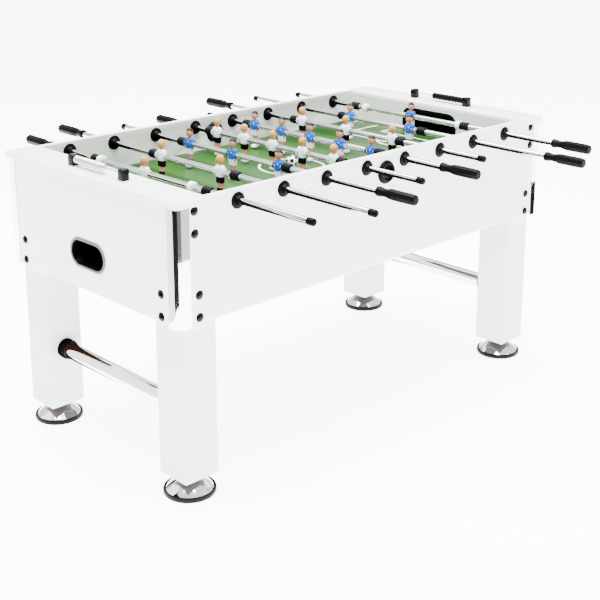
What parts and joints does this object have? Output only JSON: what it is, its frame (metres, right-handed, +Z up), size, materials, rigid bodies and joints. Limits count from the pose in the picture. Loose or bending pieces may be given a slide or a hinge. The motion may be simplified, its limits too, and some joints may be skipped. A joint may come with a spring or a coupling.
{
  "type": "foosball table",
  "caption": "Four-legged foosball table with sliding, spinning player rods, goals with ball returns, bead scorers, chromed corner guards, stretchers and screw feet.",
  "frame": {"origin": "on the floor, in the middle of the box round the whole table with its rods at rest", "axes": "+X along the table towards the blue goalkeeper's end, +Y across it to the far side, +Z up"},
  "size_m": [1.436, 1.379, 0.8033],
  "materials": {
    "white_laminate": "white melamine-faced board, satin",
    "grey_laminate": "pale grey-green faced board, satin",
    "field_print": "printed green hardboard, satin",
    "chromed_steel": "polished chrome",
    "zinc_steel": "zinc plated, black domed heads",
    "black_plastic": "satin black",
    "black_rubber": "matte",
    "silver_plastic": "silver lacquered",
    "ball_plastic": "white with black patches",
    "white_beads": "gloss",
    "black_beads": "gloss"
  },
  "bodies": {
    "cabinet": {"side_panel_front": "white_laminate", "side_panel_back": "white_laminate", "end_panel_left": "white_laminate", "end_top_left": "white_laminate", "goal_wall_left": "grey_laminate", "goal_frame_left": "black_plastic", "return_ring_left": "silver_plastic", "stretcher_left": "chromed_steel", "scorer_left": "black_plastic", "end_panel_right": "white_laminate", "end_top_right": "white_laminate", "goal_wall_right": "grey_laminate", "goal_frame_right": "black_plastic", "return_ring_right": "silver_plastic", "stretcher_right": "chromed_steel", "scorer_right": "black_plastic", "playfield": "field_print", "leg_front_left": "white_laminate", "corner_guard_front_left": "chromed_steel", "corner_fixing_front_left": "zinc_steel", "leg_front_right": "white_laminate", "corner_guard_front_right": "chromed_steel", "corner_fixing_front_right": "zinc_steel", "leg_back_left": "white_laminate", "corner_guard_back_left": "chromed_steel", "corner_fixing_back_left": "zinc_steel", "leg_back_right": "white_laminate", "corner_guard_back_right": "chromed_steel", "corner_fixing_back_right": "zinc_steel"},
    "foot_front_left": {"foot_front_left": "chromed_steel"},
    "foot_front_right": {"foot_front_right": "chromed_steel"},
    "foot_back_left": {"foot_back_left": "chromed_steel"},
    "foot_back_right": {"foot_back_right": "chromed_steel"},
    "ball": {"ball": "ball_plastic"},
    "score_beads_left": {"score_beads_left": "white_beads"},
    "score_beads_right": {"score_beads_right": "black_beads"},
    "rod_1_slider": {"rod_1_stop": "black_rubber"},
    "rod_1": {"rod_1": "chromed_steel", "rod_1_grip": "black_plastic"},
    "rod_2_slider": {"rod_2_stop": "black_rubber"},
    "rod_2": {"rod_2": "chromed_steel", "rod_2_grip": "black_plastic"},
    "rod_3_slider": {"rod_3_stop": "black_rubber"},
    "rod_3": {"rod_3": "chromed_steel", "rod_3_grip": "black_plastic"},
    "rod_4_slider": {"rod_4_stop": "black_rubber"},
    "rod_4": {"rod_4": "chromed_steel", "rod_4_grip": "black_plastic"},
    "rod_5_slider": {"rod_5_stop": "black_rubber"},
    "rod_5": {"rod_5": "chromed_steel", "rod_5_grip": "black_plastic"},
    "rod_6_slider": {"rod_6_stop": "black_rubber"},
    "rod_6": {"rod_6": "chromed_steel", "rod_6_grip": "black_plastic"},
    "rod_7_slider": {"rod_7_stop": "black_rubber"},
    "rod_7": {"rod_7": "chromed_steel", "rod_7_grip": "black_plastic"},
    "rod_8_slider": {"rod_8_stop": "black_rubber"},
    "rod_8": {"rod_8": "chromed_steel", "rod_8_grip": "black_plastic"}
  },
  "joints": [
    {"name": "foot_front_left_screw", "type": "slide", "parent": "cabinet", "child": "foot_front_left", "axis": [0, 0, -1], "range_m": [0, 0.02]},
    {"name": "foot_front_right_screw", "type": "slide", "parent": "cabinet", "child": "foot_front_right", "axis": [0, 0, -1], "range_m": [0, 0.02]},
    {"name": "foot_back_left_screw", "type": "slide", "parent": "cabinet", "child": "foot_back_left", "axis": [0, 0, -1], "range_m": [0, 0.02]},
    {"name": "foot_back_right_screw", "type": "slide", "parent": "cabinet", "child": "foot_back_right", "axis": [0, 0, -1], "range_m": [0, 0.02]},
    {"name": "ball_lift", "type": "slide", "parent": "cabinet", "child": "ball", "axis": [0, 0, 1], "range_m": [0, 0.25]},
    {"name": "score_beads_left_slide", "type": "slide", "parent": "cabinet", "child": "score_beads_left", "axis": [0, -1, 0], "range_m": [0, 0.067]},
    {"name": "score_beads_right_slide", "type": "slide", "parent": "cabinet", "child": "score_beads_right", "axis": [0, 1, 0], "range_m": [0, 0.067]},
    {"name": "rod_1_slide", "type": "slide", "parent": "cabinet", "child": "rod_1_slider", "axis": [0, 1, 0], "range_m": [-0.0612, 0.1049]},
    {"name": "rod_1_spin", "type": "hinge", "parent": "rod_1_slider", "child": "rod_1", "pos_m": [-0.525, 0.0455, 0.747], "axis": [0, 1, 0], "continuous": true},
    {"name": "rod_2_slide", "type": "slide", "parent": "cabinet", "child": "rod_2_slider", "axis": [0, 1, 0], "range_m": [-0.1242, 0.1654]},
    {"name": "rod_2_spin", "type": "hinge", "parent": "rod_2_slider", "child": "rod_2", "pos_m": [-0.375, 0.0455, 0.747], "axis": [0, 1, 0], "continuous": true},
    {"name": "rod_3_slide", "type": "slide", "parent": "cabinet", "child": "rod_3_slider", "axis": [0, 1, 0], "range_m": [-0.1019, 0.1022]},
    {"name": "rod_3_spin", "type": "hinge", "parent": "rod_3_slider", "child": "rod_3", "pos_m": [-0.225, 0.0455, 0.747], "axis": [0, 1, 0], "continuous": true},
    {"name": "rod_4_slide", "type": "slide", "parent": "cabinet", "child": "rod_4_slider", "axis": [0, 1, 0], "range_m": [-0.0322, 0.0469]},
    {"name": "rod_4_spin", "type": "hinge", "parent": "rod_4_slider", "child": "rod_4", "pos_m": [-0.075, 0.0455, 0.747], "axis": [0, 1, 0], "continuous": true},
    {"name": "rod_5_slide", "type": "slide", "parent": "cabinet", "child": "rod_5_slider", "axis": [0, 1, 0], "range_m": [-0.0469, 0.0472]},
    {"name": "rod_5_spin", "type": "hinge", "parent": "rod_5_slider", "child": "rod_5", "pos_m": [0.075, 0.0455, 0.747], "axis": [0, 1, 0], "continuous": true},
    {"name": "rod_6_slide", "type": "slide", "parent": "cabinet", "child": "rod_6_slider", "axis": [0, 1, 0], "range_m": [-0.1022, 0.1019]},
    {"name": "rod_6_spin", "type": "hinge", "parent": "rod_6_slider", "child": "rod_6", "pos_m": [0.225, 0.0455, 0.747], "axis": [0, 1, 0], "continuous": true},
    {"name": "rod_7_slide", "type": "slide", "parent": "cabinet", "child": "rod_7_slider", "axis": [0, 1, 0], "range_m": [-0.1494, 0.1657]},
    {"name": "rod_7_spin", "type": "hinge", "parent": "rod_7_slider", "child": "rod_7", "pos_m": [0.375, 0.0455, 0.747], "axis": [0, 1, 0], "continuous": true},
    {"name": "rod_8_slide", "type": "slide", "parent": "cabinet", "child": "rod_8_slider", "axis": [0, 1, 0], "range_m": [-0.1049, 0.0822]},
    {"name": "rod_8_spin", "type": "hinge", "parent": "rod_8_slider", "child": "rod_8", "pos_m": [0.525, 0.0455, 0.747], "axis": [0, 1, 0], "continuous": true}
  ]
}
